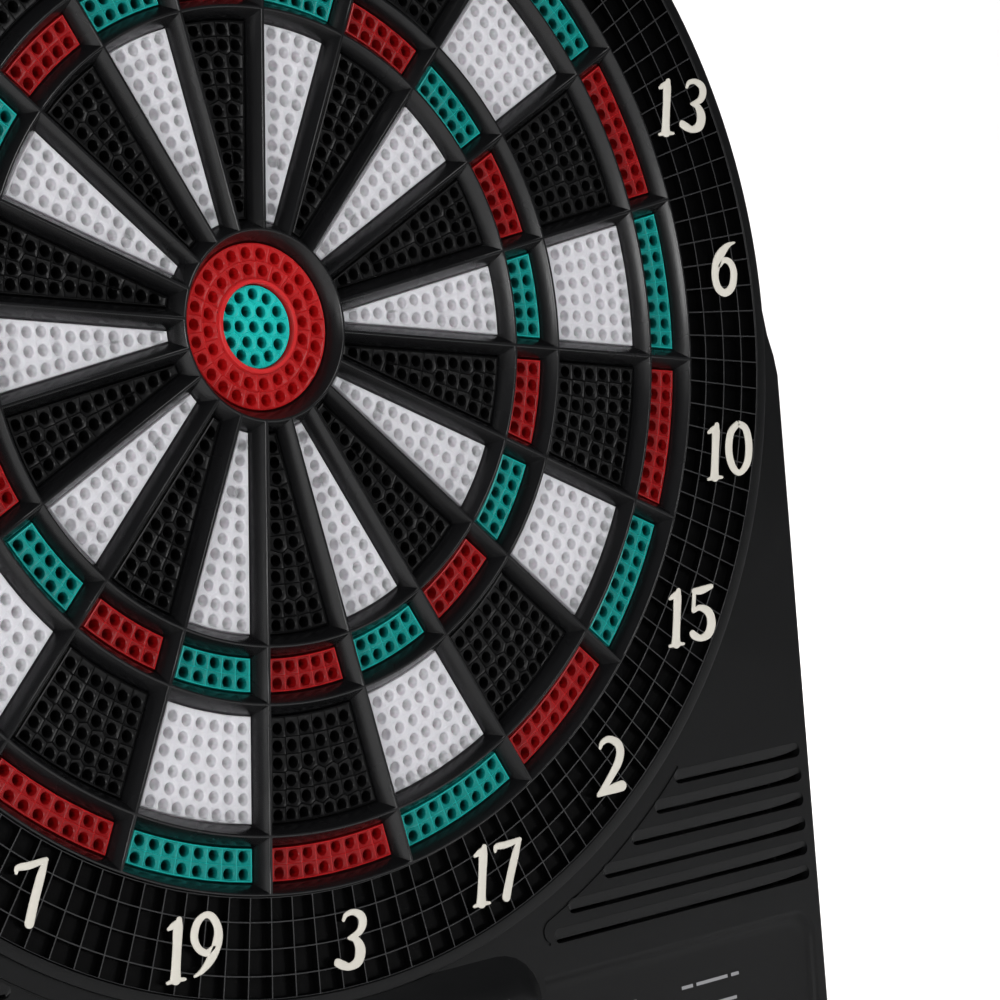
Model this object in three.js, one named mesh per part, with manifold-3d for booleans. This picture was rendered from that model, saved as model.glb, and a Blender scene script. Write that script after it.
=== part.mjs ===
// Electronic soft-tip dartboard with its lower console, in millimetres.
// The board hangs on a wall: +Z is up, the target faces -Y and the flat back lies in the plane y = 0.
// The Y axis is the axis of the bullseye, so every ring of the target is centred on x = 0, z = 0.
import * as THREE from "three";
import { mergeVertices } from "three/addons/utils/BufferGeometryUtils.js";
import Module from "manifold-3d";

const wasm = await Module();
wasm.setup();

// ---------------------------------------------------------------- driving dimensions

const NUMBERS = [20, 1, 18, 4, 13, 6, 10, 15, 2, 17, 3, 19, 7, 16, 8, 11, 14, 9, 12, 5];
const SECTOR = (2 * Math.PI) / NUMBERS.length; // one number's share of the circle
const GAP = 0.3; // clearance between pieces that meet
const RING_STEPS = 60; // chords in a visible ring
const HIDDEN_STEPS = 36; // chords in a ring inside the housing
const BULL_STEPS = 24; // chords round the inner bull

// Radii of the ridge lines of the spider, from the bullseye out.
const BULL_RIM = 29.15;
const TREBLE_INNER = 97.15;
const TREBLE_OUTER = 114.65;
const DOUBLE_INNER = 154.05;
const DOUBLE_OUTER = 171.5;

// Walls of the spider: thin at the ridge, wide where they meet the segments.
const RIDGE_HALF = 0.3;
const WALL_HALF = 3.3;
const FLANGE_LAP = 1.2; // how far a segment's flange reaches behind the wall

// Depths along Y, front to back.
const CAP_Y = -43.2; // button caps
const POD_Y = -41.5; // display pod
const RIDGE_Y = -36; // spider ridges
const BORDER_Y = -34.7; // number ring and the border round it
const FACE_Y = -33.2; // lower body
const SEGMENT_Y = -31.3; // segment faces
const LEDGE_Y = -30.4; // shelf under the number ring
const PLATE_BACK_Y = -29.8; // back of the lower body's front plate
const LEDGE_BACK_Y = -28.4;
const SPIDER_BACK_Y = -25;
const FLANGE_Y = -24.6; // front of the flanges that hold the segments behind the spider
const SEGMENT_BACK_Y = -23.2;
const MAT_Y = -21.4;
const MEMBRANE_Y = -19.1;
const BACKING_Y = -18.3;
const BACKING_BACK_Y = -15.3;
const PARTING_Y = -12; // joint between front and rear housings
const REAR_WALL_Y = -3;
const WALL_Y = 0;

// Outline of the housing.
const BODY_R = 208;
const BORDER_R = 206.8;
const OPENING_R = 202.8;
const LEDGE_R = 190;
const SHOULDER = [
  [207.7, -11],
  [208.7, -22],
  [210.3, -29],
  [211, -36],
];
const BOTTOM_Z = -292;
const BOTTOM_HALF = 191.2;
const CORNER_R = 20;
const SKIN = 2.5; // side wall thickness

// Discs behind the target.
const MAT_R = 176;
const BACKING_R = 188;
const BOSS_CIRCLE = 183;

// Louvres in the lower corners.
const LOUVRES = 6;
const LOUVRE_TOP_Z = -162.4;
const LOUVRE_PITCH = 8.26;
const LOUVRE_HALF = 2.4;
const LOUVRE_REACH = 213.5; // the inner ends lie on this circle
const LOUVRE_SIDE = 4.2; // from the outer end to the side of the body

// Display pod and its contents.
const POD_TOP_Z = -205;
const POD_HALF = 72;
const POD_BOTTOM_Z = -288;
const LENS_Z = -236;
const LENS = [52.5, 15.5]; // half width, half height
const KEYS = ["power", "game", "select", "player", "start"];
const KEY_Z = -268;
const KEY_PITCH = 24;
const KEY = [8, 4.2];
const KEY_BACK_Y = -31.6;
const BOARD_Y = -28.6;

const SPEAKER = [130, -184, 26]; // x, z, radius
const JACK = [128, -20]; // x, y of the power inlet's axis
const BATTERY = [-120, -238]; // x, z of the middle of the battery bay
const BATTERY_HALF = [31, 26];
const DOOR_TRAVEL = 8;

// ---------------------------------------------------------------- shapes

const at = (x, z) => new THREE.Vector2(x, z);

// A point at a radius and a bearing that runs clockwise from straight up.
const polar = (radius, bearing, x = 0, z = 0) =>
  at(x + radius * Math.sin(bearing), z + radius * Math.cos(bearing));

// A closed solid from loops at rising depths; every loop has as many points and runs counterclockwise
// as seen from the front.
function stack(...sections) {
  const count = sections[0][1].length;
  const positions = sections.flatMap(([y, loop]) => loop.flatMap((p) => [p.x, y, p.y]));
  const triangles = [];
  sections.slice(1).forEach((_, level) => {
    for (let i = 0; i < count; i++) {
      const a = level * count + i;
      const b = level * count + ((i + 1) % count);
      triangles.push(a, a + count, b + count, a, b + count, b);
    }
  });
  const last = (sections.length - 1) * count;
  const front = THREE.ShapeUtils.triangulateShape(sections[0][1], []);
  const back = THREE.ShapeUtils.triangulateShape(sections.at(-1)[1], []);
  front.forEach((face) => triangles.push(...face));
  back.forEach(([a, b, c]) => triangles.push(last + a, last + c, last + b));
  const geometry = new THREE.BufferGeometry();
  geometry.setAttribute("position", new THREE.Float32BufferAttribute(positions, 3));
  geometry.setIndex(triangles);
  return solid(geometry);
}

function solid(source) {
  const geometry = source.clone();
  geometry.deleteAttribute("normal");
  geometry.deleteAttribute("uv");
  const merged = mergeVertices(geometry);
  return new wasm.Manifold(
    new wasm.Mesh({
      numProp: 3,
      vertProperties: new Float32Array(merged.attributes.position.array),
      triVerts: new Uint32Array(merged.index.array),
    }),
  );
}

const prism = (loop, y0, y1) => stack([y0, loop], [y1, loop]);
const union = (...parts) => parts.reduce((sum, part) => sum.add(part));
const cut = (body, ...tools) => tools.reduce((rest, tool) => rest.subtract(tool), body);

function circle(radius, steps, x = 0, z = 0) {
  return Array.from({ length: steps }, (_, i) => polar(radius, (-2 * Math.PI * i) / steps, x, z));
}

// A rectangle with rounded corners, each corner an arc of `steps` chords.
function rounded(x, z, halfX, halfZ, radius, steps = 3) {
  const loop = [];
  [
    [1, -1, 0.5],
    [1, 1, 0],
    [-1, 1, -0.5],
    [-1, -1, -1],
  ].forEach(([sx, sz, turn]) => {
    for (let i = 0; i <= steps; i++) {
      const bearing = Math.PI * (turn + 0.5 - (0.5 * i) / steps);
      loop.push(polar(radius, bearing, x + sx * (halfX - radius), z + sz * (halfZ - radius)));
    }
  });
  return loop;
}

const rect = (x, z, halfX, halfZ) => [
  at(x - halfX, z - halfZ),
  at(x + halfX, z - halfZ),
  at(x + halfX, z + halfZ),
  at(x - halfX, z + halfZ),
];

// The loop moved inwards by a distance, each corner where its two moved edges meet.
function inset(loop, distance) {
  return loop.map((p, i) => {
    const before = p.clone().sub(loop.at(i - 1)).normalize();
    const after = loop[(i + 1) % loop.length].clone().sub(p).normalize();
    const bisector = at(-before.y - after.y, before.x + after.x);
    return p.clone().add(bisector.multiplyScalar(distance / (1 + before.dot(after))));
  });
}

// One scoring area between two ridge radii, drawn in from its ridge lines on all four sides.
// The area is given as its two radii and the number of chords in each arc.
function sector([inner, outer, innerSteps, outerSteps], bearing, drawn) {
  const arc = (radius, from, steps) => {
    const reach = SECTOR / 2 - Math.asin(drawn / radius);
    return Array.from({ length: steps + 1 }, (_, i) =>
      polar(radius, bearing + reach * from * (1 - (2 * i) / steps)),
    );
  };
  return [...arc(inner + drawn, -1, innerSteps), ...arc(outer - drawn, 1, outerSteps)];
}

// ---------------------------------------------------------------- materials

const paint = (color, roughness, metalness = 0, extra = {}) =>
  new THREE.MeshStandardMaterial({ color, roughness, metalness, ...extra });
const MATERIALS = {
  housing: paint(0x262728, 0.62),
  spider: paint(0x17181a, 0.38),
  numbers: paint(0x0b0b0c, 0.22),
  black: paint(0x121213, 0.4),
  white: paint(0xdfdde2, 0.45),
  red: paint(0xb50f1a, 0.4),
  teal: paint(0x0b9c8c, 0.4),
  rubber: paint(0x3a3a3a, 0.95),
  film: paint(0xc9b98a, 0.5),
  board: paint(0x1f6b3a, 0.5),
  screen: paint(0x9aa88f, 0.3),
  lens: paint(0xdfe6e8, 0.08, 0, { transparent: true, opacity: 0.4 }),
  metal: paint(0x9a9a9a, 0.35, 0.9),
};

const dartboard = new THREE.Group();
dartboard.name = "electronic_dartboard";

function place(name, material, body) {
  const { vertProperties, triVerts } = body.getMesh();
  const geometry = new THREE.BufferGeometry();
  geometry.setAttribute("position", new THREE.Float32BufferAttribute(vertProperties, 3));
  geometry.setIndex(Array.from(triVerts));
  const mesh = new THREE.Mesh(geometry, MATERIALS[material]);
  mesh.name = name;
  dartboard.add(mesh);
}

// ---------------------------------------------------------------- target

// The scoring areas of one number, as sectors.
const OUTER_PAIR = [
  [TREBLE_OUTER, DOUBLE_INNER, 2, 3],
  [DOUBLE_INNER, DOUBLE_OUTER, 3, 3],
];
const INNER_PAIR = [
  [BULL_RIM, TREBLE_INNER, 1, 2],
  [TREBLE_INNER, TREBLE_OUTER, 2, 2],
];

// The hollow that one scoring area makes in the spider: sloped sides down to the segment, then straight.
function cellCutter(area, bearing) {
  const mouth = sector(area, bearing, RIDGE_HALF);
  const throat = sector(area, bearing, WALL_HALF);
  return stack([RIDGE_Y - 0.1, mouth], [RIDGE_Y, mouth], [SEGMENT_Y, throat], [SPIDER_BACK_Y + 1, throat]);
}

// Two neighbouring segments of a number: they pass through the spider and share one flange behind it.
function segmentPair(pair, bearing) {
  const bodies = pair.map((area) =>
    prism(sector(area, bearing, WALL_HALF + GAP), SEGMENT_Y, SEGMENT_BACK_Y - GAP),
  );
  const [[inner, , innerSteps], [, outer, , outerSteps]] = pair;
  const flange = sector([inner, outer, innerSteps, outerSteps], bearing, WALL_HALF - FLANGE_LAP);
  return union(...bodies, prism(flange, FLANGE_Y, SEGMENT_BACK_Y));
}

let spider = stack(
  [RIDGE_Y, circle(DOUBLE_OUTER + 0.4, RING_STEPS)],
  [LEDGE_BACK_Y + GAP, circle(DOUBLE_OUTER + 0.4, RING_STEPS)],
);
const flangeBackY = LEDGE_BACK_Y + GAP + 2;
spider = spider.add(prism(circle(LEDGE_R + 4, HIDDEN_STEPS), LEDGE_BACK_Y + GAP, flangeBackY));
spider = spider.add(prism(circle(DOUBLE_OUTER + 2, HIDDEN_STEPS), flangeBackY, SPIDER_BACK_Y));
for (let i = 0; i < 8; i++) {
  const foot = polar(BOSS_CIRCLE, ((i + 0.5) * Math.PI) / 4);
  spider = spider.add(prism(circle(4, 8, foot.x, foot.y), flangeBackY, BACKING_Y - GAP));
}
const bullMouth = circle(BULL_RIM - RIDGE_HALF, HIDDEN_STEPS);
const bullThroat = circle(BULL_RIM - WALL_HALF, HIDDEN_STEPS);
spider = spider.subtract(
  stack(
    [RIDGE_Y - 0.1, bullMouth],
    [RIDGE_Y, bullMouth],
    [SEGMENT_Y, bullThroat],
    [SPIDER_BACK_Y + 1, bullThroat],
  ),
);

NUMBERS.forEach((number, i) => {
  const bearing = i * SECTOR;
  [...OUTER_PAIR, ...INNER_PAIR].forEach((area) => {
    spider = spider.subtract(cellCutter(area, bearing));
  });
  const colour = i % 2 ? "white" : "black";
  place("double_outer_single_" + number, colour, segmentPair(OUTER_PAIR, bearing));
  place("treble_inner_single_" + number, colour, segmentPair(INNER_PAIR, bearing));
});
place("spider", "spider", spider);

// The bullseye: a ring with a raised lip round the inner bull, which has its own flange in a hollow behind.
const BULL_OUTER_R = BULL_RIM - WALL_HALF - GAP;
const BULL_INNER_R = 12.8;
const BULL_HOLLOW_R = 17.2;
const BULL_HOLLOW_Y = -27.2;
const BULL_FLANGE_Y = -25.3; // leaves the outer bull room to travel back on its own
const LIP_WIDTH = 1.6;
const LIP_HEIGHT = 0.8;
place(
  "bull_outer",
  "red",
  cut(
    union(
      prism(circle(BULL_OUTER_R, HIDDEN_STEPS), SEGMENT_Y, SEGMENT_BACK_Y),
      prism(circle(BULL_OUTER_R + FLANGE_LAP + GAP, HIDDEN_STEPS), FLANGE_Y, SEGMENT_BACK_Y),
      prism(circle(BULL_INNER_R + LIP_WIDTH, BULL_STEPS), SEGMENT_Y - LIP_HEIGHT, SEGMENT_Y + 1),
    ),
    prism(circle(BULL_INNER_R + GAP, BULL_STEPS), SEGMENT_Y - 1, SEGMENT_BACK_Y + 1),
    prism(circle(BULL_HOLLOW_R, BULL_STEPS), BULL_HOLLOW_Y, SEGMENT_BACK_Y + 1),
  ),
);
place(
  "bull_inner",
  "teal",
  union(
    prism(circle(BULL_INNER_R, BULL_STEPS), SEGMENT_Y, SEGMENT_BACK_Y),
    prism(circle(BULL_HOLLOW_R - 2 * GAP, BULL_STEPS), BULL_FLANGE_Y, SEGMENT_BACK_Y),
  ),
);

// The number ring: a channel between two rims, crossed by a rib on the line between numbers.
const RING_INNER = DOUBLE_OUTER + 0.4 + GAP;
const RING_OUTER = OPENING_R - GAP;
let numberRing = cut(
  prism(circle(RING_OUTER, RING_STEPS), BORDER_Y, LEDGE_Y - GAP),
  prism(circle(RING_INNER, RING_STEPS), BORDER_Y - 1, LEDGE_Y),
  cut(
    prism(circle(RING_OUTER - 0.6, RING_STEPS), BORDER_Y - 1, BORDER_Y + 2.6),
    prism(circle(RING_INNER + 0.6, RING_STEPS), BORDER_Y - 2, BORDER_Y + 3),
  ),
);
NUMBERS.forEach((_, i) => {
  const bearing = (i + 0.5) * SECTOR;
  const across = polar(0.4, bearing + Math.PI / 2);
  const ends = [RING_INNER + 0.3, RING_OUTER - 0.3].map((radius) => polar(radius, bearing));
  const rib = [
    ends[0].clone().sub(across),
    ends[0].clone().add(across),
    ends[1].clone().add(across),
    ends[1].clone().sub(across),
  ];
  numberRing = numberRing.add(prism(rib, BORDER_Y, BORDER_Y + 3));
});
place("number_ring", "numbers", numberRing);

// ---------------------------------------------------------------- layers behind the target

place("return_mat", "rubber", prism(circle(MAT_R, HIDDEN_STEPS), MAT_Y, MAT_Y + 2));
const tail = rect(0, -(MAT_R + 22), 14, 24);
place(
  "sensor_membrane",
  "film",
  union(prism(circle(MAT_R, HIDDEN_STEPS), MEMBRANE_Y, MEMBRANE_Y + 0.5), prism(tail, MEMBRANE_Y, MEMBRANE_Y + 0.5)),
);
let backing = prism(circle(BACKING_R, HIDDEN_STEPS), BACKING_Y, BACKING_BACK_Y);
for (const turn of [0, 1, 2, 3]) {
  const along = polar(BACKING_R - 14, (turn * Math.PI) / 4);
  const across = polar(1.5, (turn * Math.PI) / 4 + Math.PI / 2);
  const rib = [
    along.clone().negate().sub(across),
    along.clone().negate().add(across),
    along.clone().add(across),
    along.clone().sub(across),
  ];
  backing = backing.add(prism(rib, BACKING_BACK_Y - 0.5, BACKING_BACK_Y + 4));
}
place("backing_plate", "black", backing);

// ---------------------------------------------------------------- housing

// Half-width of the lower body at a height below the shoulder.
const shoulder = SHOULDER.at(-1);
const sideX = (z) =>
  shoulder[0] + ((BOTTOM_HALF - shoulder[0]) * (z - shoulder[1])) / (BOTTOM_Z - shoulder[1]);

function housingOutline() {
  const right = [];
  for (let i = 1; i <= RING_STEPS / 4; i++) right.push(polar(BODY_R, (2 * Math.PI * i) / RING_STEPS));
  SHOULDER.forEach(([x, z]) => right.push(at(x, z)));
  for (let i = 0; i <= 4; i++) {
    const bearing = Math.PI / 2 + (Math.PI / 8) * i;
    right.push(polar(CORNER_R, bearing, BOTTOM_HALF - CORNER_R + (i ? 0 : 1.5), BOTTOM_Z + CORNER_R));
  }
  const left = right.map((p) => at(-p.x, p.y));
  return [at(0, BODY_R), ...left, ...right.reverse()];
}

const OUTLINE = housingOutline();
const INSIDE = inset(OUTLINE, SKIN);

// Screw pillars inside the housing, standing against its side walls.
const PILLARS = [
  ...[-75, -25, 25, 75].map((degrees) => polar(BORDER_R - 7.3, THREE.MathUtils.degToRad(degrees))),
  ...[-1, 1].flatMap((side) => [
    at(side * (sideX(-110) - 6), -110),
    at(side * (sideX(-262) - 8), -262),
    at(side * 84, BOTTOM_Z + 8),
  ]),
];

const louvreOutline = (side, index, half, drop) => {
  const z = LOUVRE_TOP_Z - LOUVRE_PITCH * index;
  const from = Math.sqrt(LOUVRE_REACH ** 2 - z ** 2);
  const to = sideX(z) - LOUVRE_SIDE;
  return rounded((side * (from + to)) / 2, z - drop, (to - from) / 2 - drop / 2, half, half * 0.95, 1);
};

// A louvre: its floor sinks towards the lower edge and ends in an open slot.
function louvreCutter(side, index) {
  const mouth = louvreOutline(side, index, LOUVRE_HALF, 0);
  const floor = louvreOutline(side, index, 0.9, LOUVRE_HALF - 0.9);
  return stack([FACE_Y - 1, mouth], [FACE_Y, mouth], [FACE_Y + 1.9, floor], [PLATE_BACK_Y + 1, floor]);
}

// The sunken panel beside the pod, with a broad slope along its upper and outer edges.
function panelCutter(side) {
  const outline = (drawn) => {
    const top = -215.2 - drawn * 1.5;
    const foot = -281 + drawn;
    const outer = (z) => sideX(z) - 4.3 - drawn;
    const corner = 8;
    const arc = [0, 1, 2, 3].map((i) =>
      polar(corner, Math.PI / 2 - (Math.PI / 6) * i, outer(top) - corner, top - corner),
    );
    const loop = [
      at(POD_HALF + 2, foot),
      at(outer(foot) - 6, foot),
      at(outer(foot), foot + 6),
      ...arc,
      at(POD_HALF + 2, top),
    ];
    return side > 0 ? loop : loop.map((p) => at(-p.x, p.y)).reverse();
  };
  return stack([FACE_Y - 1, outline(0)], [FACE_Y, outline(0)], [FACE_Y + 1.9, outline(3.8)]);
}

function podOutline(drawn, topDrawn) {
  const top = POD_TOP_Z - topDrawn;
  const bottom = POD_BOTTOM_Z + drawn;
  return rounded(0, (top + bottom) / 2, POD_HALF - drawn, (top - bottom) / 2, 16 - drawn, 2);
}

const keyX = (index) => KEY_PITCH * (index - (KEYS.length - 1) / 2);

let front = union(
  stack([FACE_Y, inset(OUTLINE, 1.2)], [FACE_Y + 1.2, OUTLINE], [PARTING_Y - GAP / 2, OUTLINE]),
  stack(
    [BORDER_Y, circle(BORDER_R - 0.8, RING_STEPS)],
    [BORDER_Y + 0.8, circle(BORDER_R, RING_STEPS)],
    [FACE_Y + 0.5, circle(BORDER_R, RING_STEPS)],
  ),
  stack([POD_Y, podOutline(8, 12)], [POD_Y + 1.2, podOutline(6, 10)], [FACE_Y, podOutline(0, 0)], [
    PLATE_BACK_Y,
    podOutline(0, 0),
  ]),
);
const ringShelf = prism(circle(BORDER_R, HIDDEN_STEPS), LEDGE_Y - 1, LEDGE_BACK_Y);
front = cut(
  front,
  prism(INSIDE, LEDGE_BACK_Y, PARTING_Y + 1),
  cut(prism(INSIDE, PLATE_BACK_Y, LEDGE_BACK_Y + 1), ringShelf),
  prism(circle(OPENING_R, RING_STEPS), BORDER_Y - 1, LEDGE_Y),
  prism(circle(LEDGE_R, HIDDEN_STEPS), LEDGE_Y - 1, LEDGE_BACK_Y + 1),
  cut(
    stack([POD_Y + 3.2, podOutline(9, 13)], [PLATE_BACK_Y + 1, podOutline(6, 11)]),
    prism(circle(BORDER_R, HIDDEN_STEPS), POD_Y, PLATE_BACK_Y + 2),
  ),
  prism(rounded(0, LENS_Z, LENS[0] + GAP, LENS[1] + GAP, 3, 1), POD_Y - 1, POD_Y + 1.8),
  prism(rect(0, LENS_Z, LENS[0] - 3, LENS[1] - 3), POD_Y, POD_Y + 4),
  ...KEYS.map((_, i) => prism(rounded(keyX(i), KEY_Z, KEY[0] + GAP, KEY[1] + GAP, 3, 1), POD_Y - 1, POD_Y + 4)),
  ...[-1, 1].flatMap((side) => [
    panelCutter(side),
    ...Array.from({ length: LOUVRES }, (_, i) => louvreCutter(side, i)),
  ]),
);
const [speakerX, speakerZ, speakerR] = SPEAKER;
front = front.add(
  cut(
    prism(circle(speakerR + 3, 20, speakerX, speakerZ), PLATE_BACK_Y - 0.5, PLATE_BACK_Y + 4),
    prism(circle(speakerR + GAP, 20, speakerX, speakerZ), PLATE_BACK_Y - 1, PLATE_BACK_Y + 5),
  ),
);
PILLARS.forEach(({ x, y: z }) => {
  const top = Math.hypot(x, z) < BORDER_R ? LEDGE_BACK_Y - 1 : PLATE_BACK_Y - 1;
  front = front.add(prism(circle(3.8, 8, x, z), top, PARTING_Y - GAP / 2));
});
const [jackX, jackY] = JACK;
const inletHole = new THREE.CylinderGeometry(4.3, 4.3, 6, 16).rotateX(Math.PI / 2);
front = front.subtract(solid(inletHole.translate(jackX, jackY, BOTTOM_Z + 1)));
place("front_housing", "housing", front);

// The rear housing: a tray with two keyholes for the wall screws and the battery bay.
const [batteryX, batteryZ] = BATTERY;
const [batteryHalfX, batteryHalfZ] = BATTERY_HALF;
const doorRecess = rect(
  batteryX,
  batteryZ - DOOR_TRAVEL / 2,
  batteryHalfX + 2 + GAP,
  batteryHalfZ + 2 + GAP + DOOR_TRAVEL / 2,
);
const keyholes = [-1, 1].flatMap((side) => [
  prism(circle(5, 12, side * 90, 118), REAR_WALL_Y - 1, WALL_Y + 1),
  prism(rounded(side * 90, 124, 2.4, 8, 2.3, 2), REAR_WALL_Y - 1, WALL_Y + 1),
]);
let rear = cut(
  stack([PARTING_Y + GAP / 2, OUTLINE], [WALL_Y - 1.5, OUTLINE], [WALL_Y, inset(OUTLINE, 1.5)]),
  prism(INSIDE, PARTING_Y - 1, REAR_WALL_Y),
);
rear = rear.add(
  prism(rect(batteryX, batteryZ, batteryHalfX + 1.6, batteryHalfZ + 1.6), REAR_WALL_Y - 16, REAR_WALL_Y + 0.5),
);
PILLARS.forEach(({ x, y: z }) => {
  rear = rear.add(prism(circle(3.8, 8, x, z), PARTING_Y + GAP / 2, REAR_WALL_Y + 0.5));
});
rear = cut(
  rear,
  prism(rect(batteryX, batteryZ, batteryHalfX, batteryHalfZ), REAR_WALL_Y - 14.4, WALL_Y + 1),
  prism(doorRecess, WALL_Y - 2.2, WALL_Y + 1),
  ...keyholes,
);
place("rear_housing", "housing", rear);

// The battery door lies in its recess, level with the back, and has three grip ridges.
const door = [
  prism(rect(batteryX, batteryZ, batteryHalfX + 2, batteryHalfZ + 2), WALL_Y - 1.9, WALL_Y - 0.7),
  ...[0, 1, 2].map((i) =>
    prism(rect(batteryX, batteryZ - 14 - 3 * i, 10, 0.7), WALL_Y - 1.2, WALL_Y - 0.2),
  ),
];
place("battery_door", "housing", union(...door));

// ---------------------------------------------------------------- console

place("display_lens", "lens", prism(rounded(0, LENS_Z, ...LENS, 3, 1), POD_Y + 0.2, POD_Y + 1.5));
const screenY = POD_Y + 3.5;
place(
  "lcd_module",
  "screen",
  cut(
    prism(rect(0, LENS_Z, LENS[0] + 1, LENS[1] + 1), screenY, BOARD_Y - 2),
    prism(rect(0, LENS_Z, LENS[0] - 3, LENS[1] - 3), screenY - 1, screenY + 0.8),
  ),
);

// Each key: a cap through the pod, a flange behind its wall and a stem down to the switch.
KEYS.forEach((key, i) => {
  const x = keyX(i);
  place(
    "button_" + key,
    key === "power" ? "red" : "rubber",
    union(
      stack(
        [CAP_Y, rounded(x, KEY_Z, KEY[0] - 0.7, KEY[1] - 0.7, 2.3, 1)],
        [CAP_Y + 0.7, rounded(x, KEY_Z, ...KEY, 3, 1)],
        [POD_Y + 4, rounded(x, KEY_Z, ...KEY, 3, 1)],
      ),
      prism(rect(x, KEY_Z, KEY[0] + 1.5, KEY[1] + 1.5), POD_Y + 3.6, POD_Y + 4.8),
      prism(rect(x, KEY_Z, 2, 2), POD_Y + 4.4, KEY_BACK_Y),
    ),
  );
});

// The main board carries the key switches, the processor, the display connector and two capacitors.
const BOARD_HALF = [66, 28];
const boardZ = -250;
const onBoard = (x, z, halfX, halfZ, height) =>
  prism(rect(x, z, halfX, halfZ), BOARD_Y + 1.6 - 0.5, BOARD_Y + 1.6 + height);
place(
  "main_circuit_board",
  "board",
  union(
    prism(rect(0, boardZ, ...BOARD_HALF), BOARD_Y, BOARD_Y + 1.6),
    ...KEYS.map((_, i) => prism(rect(keyX(i), KEY_Z, 3, 3), BOARD_Y - 1.4, BOARD_Y + 0.5)),
    onBoard(-10, boardZ + 4, 8, 8, 2),
    onBoard(0, boardZ + 22, 16, 3, 5),
    onBoard(34, boardZ + 6, 5, 3, 3),
    onBoard(50, boardZ - 8, 4, 6, 6),
    prism(circle(4, 12, -40, boardZ + 6), BOARD_Y + 1.1, BOARD_Y + 9),
    prism(circle(4, 12, -52, boardZ - 8), BOARD_Y + 1.1, BOARD_Y + 9),
  ),
);

// The loudspeaker behind the right-hand louvres: frame, cone basket and magnet.
const speakerRing = (radius) => circle(radius, 20, speakerX, speakerZ);
const speakerY = PLATE_BACK_Y + 1.7;
place(
  "speaker",
  "metal",
  cut(
    union(
      prism(speakerRing(speakerR), speakerY, speakerY + 1.6),
      stack([speakerY + 1.2, speakerRing(speakerR - 3)], [speakerY + 8, speakerRing(14)]),
      prism(speakerRing(16), speakerY + 7.5, speakerY + 13),
    ),
    stack([speakerY - 0.1, speakerRing(speakerR - 4)], [speakerY + 5, speakerRing(9)]),
  ),
);

// The power inlet: a block behind the lower wall with a barrel through it, and a centre pin.
const alongZ = (radius, z0, z1) =>
  solid(
    new THREE.CylinderGeometry(radius, radius, z1 - z0, 16)
      .rotateX(Math.PI / 2)
      .translate(jackX, jackY, (z0 + z1) / 2),
  );
const jackBlock = new THREE.BoxGeometry(11, 11, 14).translate(jackX, jackY, BOTTOM_Z + SKIN + GAP + 7);
place(
  "dc_jack",
  "black",
  union(
    cut(
      union(solid(jackBlock), alongZ(4, BOTTOM_Z + 0.4, BOTTOM_Z + 5)),
      alongZ(2.8, BOTTOM_Z - 1, BOTTOM_Z + 10),
    ),
    alongZ(1, BOTTOM_Z + 2, BOTTOM_Z + 11),
  ),
);

export default dartboard;
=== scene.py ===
"""Electronic soft-tip dartboard: the visual model on its CAD frame.

Shapes are worked out in millimetres in the part's own frame: X right, Z up, and Y into the wall,
so the target faces -Y and y = 0 is the flat back. A loop is a list of (x, z) points that runs
counterclockwise as seen by the player.
"""
import math

import bmesh
import bpy
from mathutils import Matrix, Vector


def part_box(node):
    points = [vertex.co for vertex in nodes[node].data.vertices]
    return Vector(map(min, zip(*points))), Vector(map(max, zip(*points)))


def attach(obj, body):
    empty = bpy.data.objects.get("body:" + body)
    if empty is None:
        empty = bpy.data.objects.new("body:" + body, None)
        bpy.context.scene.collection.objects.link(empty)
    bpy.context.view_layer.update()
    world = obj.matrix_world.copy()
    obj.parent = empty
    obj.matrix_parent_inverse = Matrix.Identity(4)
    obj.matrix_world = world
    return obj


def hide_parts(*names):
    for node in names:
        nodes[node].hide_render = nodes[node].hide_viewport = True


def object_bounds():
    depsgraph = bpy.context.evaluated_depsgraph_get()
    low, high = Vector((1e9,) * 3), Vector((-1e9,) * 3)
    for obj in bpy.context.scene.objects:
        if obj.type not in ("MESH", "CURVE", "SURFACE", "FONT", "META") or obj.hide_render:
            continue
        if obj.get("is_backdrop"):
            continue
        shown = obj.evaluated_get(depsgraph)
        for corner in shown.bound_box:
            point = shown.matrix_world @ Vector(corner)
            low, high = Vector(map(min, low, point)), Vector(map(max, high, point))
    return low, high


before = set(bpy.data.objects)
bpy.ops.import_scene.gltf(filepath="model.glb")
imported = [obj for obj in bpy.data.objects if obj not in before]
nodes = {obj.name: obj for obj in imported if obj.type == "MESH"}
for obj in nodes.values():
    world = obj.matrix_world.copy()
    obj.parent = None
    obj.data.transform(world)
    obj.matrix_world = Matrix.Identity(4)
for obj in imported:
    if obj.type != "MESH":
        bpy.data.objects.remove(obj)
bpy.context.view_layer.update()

MM = 0.001
TAU = 2 * math.pi

# ---- dimensions

NUMBERS = [20, 1, 18, 4, 13, 6, 10, 15, 2, 17, 3, 19, 7, 16, 8, 11, 14, 9, 12, 5]
SECTOR = TAU / len(NUMBERS)
BULL_RIM, TREBLE_IN, TREBLE_OUT, DOUBLE_IN, DOUBLE_OUT = 29.15, 97.15, 114.65, 154.05, 171.5
RIDGE_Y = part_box("spider")[0].y / MM
BORDER_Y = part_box("number_ring")[0].y / MM
SEGMENT_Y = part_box("bull_inner")[0].y / MM
POD_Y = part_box("front_housing")[0].y / MM
FACE_Y = BORDER_Y + 1.5
PARTING_Y = -12.0
LEDGE_Y = -30.4
SEGMENT_INSET = 3.6
SEGMENT_DEPTH = 7.8
BULL_SUNK = 1.0  # how far the inner bull's face lies below the other faces

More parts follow.
